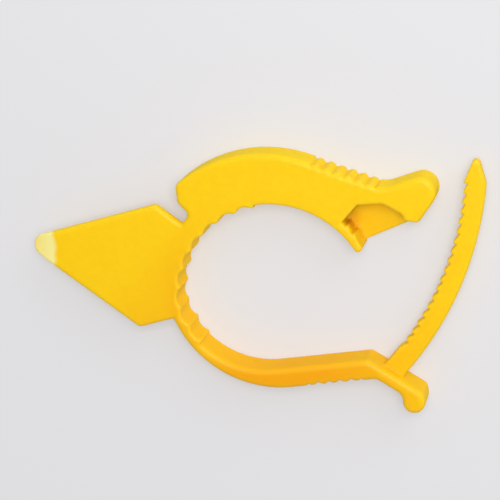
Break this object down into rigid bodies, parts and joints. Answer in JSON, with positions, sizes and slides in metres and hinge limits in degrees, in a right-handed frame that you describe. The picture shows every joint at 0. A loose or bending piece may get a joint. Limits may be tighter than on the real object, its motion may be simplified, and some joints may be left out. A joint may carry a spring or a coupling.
{
  "type": "loose wheel nut indicator",
  "caption": "Flat plastic ring clip with a pointer, a scalloped seat, finger tabs and a toothed strap; it grips a wheel nut so that a turned pointer shows a loose nut.",
  "frame": {"origin": "on the axis of the wheel nut that the ring grips, on the back face that the clip lies on", "axes": "+Z along the nut's axis, out of the front face; -X along the pointer; +Y towards the arm with the strap pocket"},
  "size_m": [0.0589, 0.0359, 0.005],
  "materials": {
    "yellow_plastic": "moulded, semi-gloss"
  },
  "bodies": {
    "root": {"wheel_nut_indicator": "yellow_plastic"}
  },
  "joints": []
}
